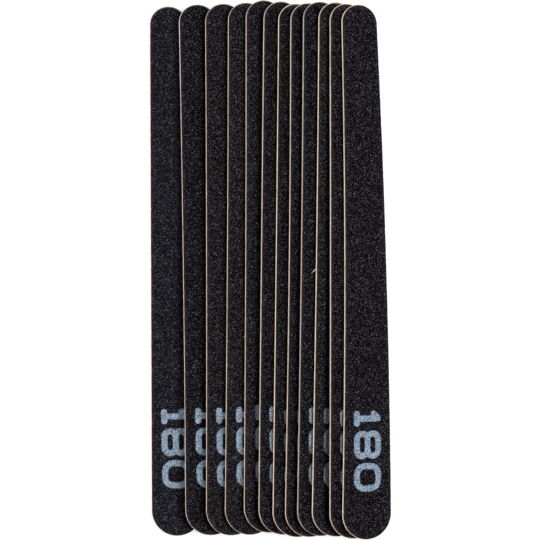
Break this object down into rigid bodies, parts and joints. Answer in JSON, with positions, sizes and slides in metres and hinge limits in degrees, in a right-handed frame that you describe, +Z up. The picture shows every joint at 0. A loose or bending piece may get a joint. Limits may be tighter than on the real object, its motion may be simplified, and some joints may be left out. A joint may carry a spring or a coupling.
{
  "type": "emery board",
  "caption": "Row of slim tapered nail boards with round ends, black grit on both faces and thin wood cores, laid leaning on one another.",
  "frame": {"origin": "on the table, below the middle of the outer sizes of the whole row", "axes": "+Y along the boards to their narrow ends, +X along the row from the flat board to the uppermost one, +Z up from the table"},
  "size_m": [0.081, 0.18, 0.0067],
  "materials": {
    "core_wood": "raw thin basswood, cut edge, pale tan",
    "backing_paper": "uncoated heavy paper under the grit, seen only at its cut edge",
    "grit": "black mineral grit bonded in dark resin, dry, with fine glints"
  },
  "bodies": {
    "board_01": {"core_01": "core_wood", "front_paper_01": "backing_paper", "front_grit_01": "grit", "back_paper_01": "backing_paper", "back_grit_01": "grit"},
    "board_02": {"core_02": "core_wood", "front_paper_02": "backing_paper", "front_grit_02": "grit", "back_paper_02": "backing_paper", "back_grit_02": "grit"},
    "board_03": {"core_03": "core_wood", "front_paper_03": "backing_paper", "front_grit_03": "grit", "back_paper_03": "backing_paper", "back_grit_03": "grit"},
    "board_04": {"core_04": "core_wood", "front_paper_04": "backing_paper", "front_grit_04": "grit", "back_paper_04": "backing_paper", "back_grit_04": "grit"},
    "board_05": {"core_05": "core_wood", "front_paper_05": "backing_paper", "front_grit_05": "grit", "back_paper_05": "backing_paper", "back_grit_05": "grit"},
    "board_06": {"core_06": "core_wood", "front_paper_06": "backing_paper", "front_grit_06": "grit", "back_paper_06": "backing_paper", "back_grit_06": "grit"},
    "board_07": {"core_07": "core_wood", "front_paper_07": "backing_paper", "front_grit_07": "grit", "back_paper_07": "backing_paper", "back_grit_07": "grit"},
    "board_08": {"core_08": "core_wood", "front_paper_08": "backing_paper", "front_grit_08": "grit", "back_paper_08": "backing_paper", "back_grit_08": "grit"},
    "board_09": {"core_09": "core_wood", "front_paper_09": "backing_paper", "front_grit_09": "grit", "back_paper_09": "backing_paper", "back_grit_09": "grit"},
    "board_10": {"core_10": "core_wood", "front_paper_10": "backing_paper", "front_grit_10": "grit", "back_paper_10": "backing_paper", "back_grit_10": "grit"},
    "board_11": {"core_11": "core_wood", "front_paper_11": "backing_paper", "front_grit_11": "grit", "back_paper_11": "backing_paper", "back_grit_11": "grit"},
    "board_12": {"core_12": "core_wood", "front_paper_12": "backing_paper", "front_grit_12": "grit", "back_paper_12": "backing_paper", "back_grit_12": "grit"}
  },
  "joints": [
    {"name": "lift_02", "type": "slide", "parent": "board_01", "child": "board_02", "axis": [0, 0, 1], "range_m": [0, 0.03]},
    {"name": "lift_03", "type": "slide", "parent": "board_02", "child": "board_03", "axis": [0, 0, 1], "range_m": [0, 0.03]},
    {"name": "lift_04", "type": "slide", "parent": "board_03", "child": "board_04", "axis": [0, 0, 1], "range_m": [0, 0.03]},
    {"name": "lift_05", "type": "slide", "parent": "board_04", "child": "board_05", "axis": [0, 0, 1], "range_m": [0, 0.03]},
    {"name": "lift_06", "type": "slide", "parent": "board_05", "child": "board_06", "axis": [0, 0, 1], "range_m": [0, 0.03]},
    {"name": "lift_07", "type": "slide", "parent": "board_06", "child": "board_07", "axis": [0, 0, 1], "range_m": [0, 0.03]},
    {"name": "lift_08", "type": "slide", "parent": "board_07", "child": "board_08", "axis": [0, 0, 1], "range_m": [0, 0.03]},
    {"name": "lift_09", "type": "slide", "parent": "board_08", "child": "board_09", "axis": [0, 0, 1], "range_m": [0, 0.03]},
    {"name": "lift_10", "type": "slide", "parent": "board_09", "child": "board_10", "axis": [0, 0, 1], "range_m": [0, 0.03]},
    {"name": "lift_11", "type": "slide", "parent": "board_10", "child": "board_11", "axis": [0, 0, 1], "range_m": [0, 0.03]},
    {"name": "lift_12", "type": "slide", "parent": "board_11", "child": "board_12", "axis": [0, 0, 1], "range_m": [0, 0.03]}
  ]
}
